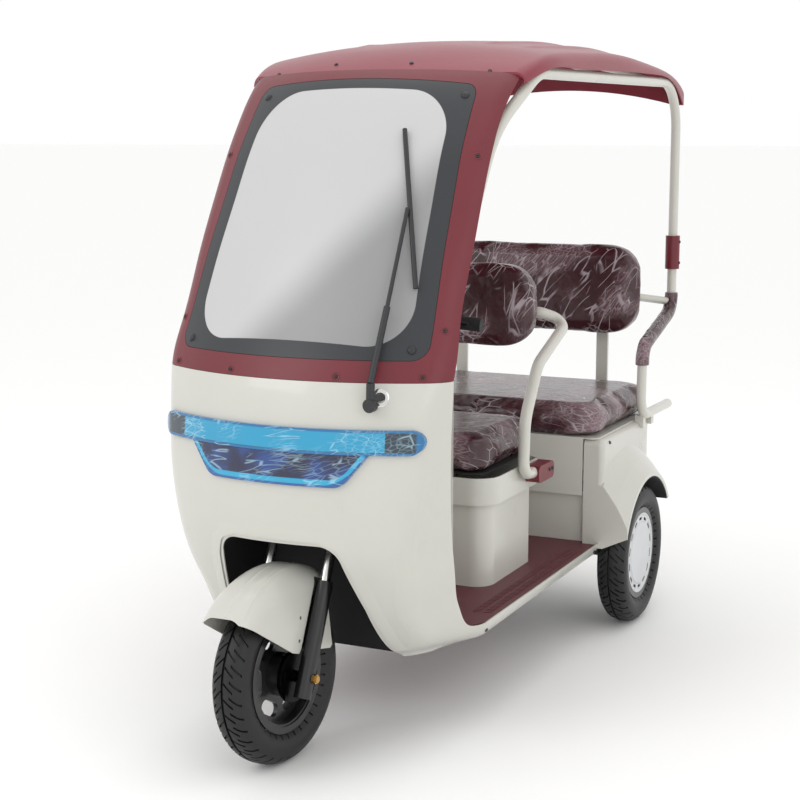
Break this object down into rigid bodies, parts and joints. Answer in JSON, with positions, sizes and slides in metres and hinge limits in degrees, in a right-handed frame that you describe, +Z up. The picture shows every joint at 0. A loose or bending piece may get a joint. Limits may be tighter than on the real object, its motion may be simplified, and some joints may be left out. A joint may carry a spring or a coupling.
{
  "type": "electric tricycle",
  "caption": "Small passenger electric tricycle with a curved windscreen cab, a roof on tube posts, a driver's seat, a rear bench and open sides.",
  "frame": {"origin": "on the ground, at the middle of the bounding box seen from above", "axes": "+Z up, -Y to the front, +X to the vehicle's left"},
  "size_m": [0.948, 2.1763, 1.76],
  "materials": {
    "frame_black": "satin black paint",
    "floor_maroon": "maroon moulded plastic",
    "black_plastic": "textured black plastic",
    "body_cream": "gloss cream",
    "trim_maroon": "satin maroon",
    "glazing": "clear, black border",
    "wiper_black": "black",
    "lamp_blue": "lamp lens under blue protective film",
    "tube_cream": "gloss cream paint",
    "cushion_maroon": "dark maroon leatherette under clear film",
    "lamp_red": "red lens",
    "motor_casting": "cast",
    "battery_case": "black case",
    "bright_steel": "hard chrome",
    "axle_steel": "zinc plated",
    "grip_rubber": "ribbed",
    "tyre_rubber": "tread",
    "rim_black": "gloss black",
    "cover_silver": "silver paint",
    "board_black": "painted board"
  },
  "bodies": {
    "body": {"arm_pads": "cushion_maroon", "battery_pack": "battery_case", "bench_box": "body_cream", "chassis_frame": "frame_black", "dashboard": "black_plastic", "drive_motor": "motor_casting", "driver_backrest": "cushion_maroon", "driver_seat_box": "body_cream", "floor_pan": "floor_maroon", "front_shell": "body_cream", "grab_rails": "tube_cream", "headlamp_bar": "lamp_blue", "headlamp_bowl": "lamp_blue", "leaf_springs": "frame_black", "leg_shield": "body_cream", "post_sleeves": "trim_maroon", "rail_brackets": "trim_maroon", "rear_axle": "frame_black", "rear_backrest": "cushion_maroon", "rear_bench": "cushion_maroon", "rear_quarter_left": "body_cream", "rear_quarter_right": "body_cream", "rear_rails": "tube_cream", "roof_frame": "tube_cream", "roof_shell": "trim_maroon", "seat_hinges": "axle_steel", "tail_lamps": "lamp_red", "tail_panel": "body_cream", "wheel_houses": "black_plastic", "wheel_well": "black_plastic", "windscreen": "glazing", "windscreen_frame": "trim_maroon", "wiper": "wiper_black"},
    "steering": {"fork_legs": "frame_black", "fork_stanchions": "bright_steel", "fork_crown": "frame_black", "front_axle": "axle_steel", "handlebar": "frame_black", "handlebar_grips": "grip_rubber", "front_fender": "body_cream"},
    "front_wheel": {"front_tyre": "tyre_rubber", "front_rim": "rim_black"},
    "rear_wheel_left": {"rear_tyre_left": "tyre_rubber", "rear_rim_left": "rim_black", "wheel_cover_left": "cover_silver"},
    "rear_wheel_right": {"rear_tyre_right": "tyre_rubber", "rear_rim_right": "rim_black", "wheel_cover_right": "cover_silver"},
    "seat_lid": {"driver_seat": "cushion_maroon", "seat_base_board": "board_black"}
  },
  "joints": [
    {"name": "steering_turn", "type": "hinge", "parent": "body", "child": "steering", "pos_m": [0, -0.83237, 0.19979], "axis": [0, 0.4226, 0.9063], "range_deg": [-36, 48]},
    {"name": "front_wheel_spin", "type": "hinge", "parent": "steering", "child": "front_wheel", "pos_m": [-0.00376, -0.86482, 0.21492], "axis": [0.9945, -0.0947, 0.0442], "continuous": true},
    {"name": "rear_wheel_left_spin", "type": "hinge", "parent": "body", "child": "rear_wheel_left", "pos_m": [0.415, 0.605, 0.215], "axis": [1, 0, 0], "continuous": true},
    {"name": "rear_wheel_right_spin", "type": "hinge", "parent": "body", "child": "rear_wheel_right", "pos_m": [-0.415, 0.605, 0.215], "axis": [1, 0, 0], "continuous": true},
    {"name": "seat_lift", "type": "hinge", "parent": "body", "child": "seat_lid", "pos_m": [0, -0.203, 0.5955], "axis": [1, 0, 0], "range_deg": [0, 62]}
  ]
}
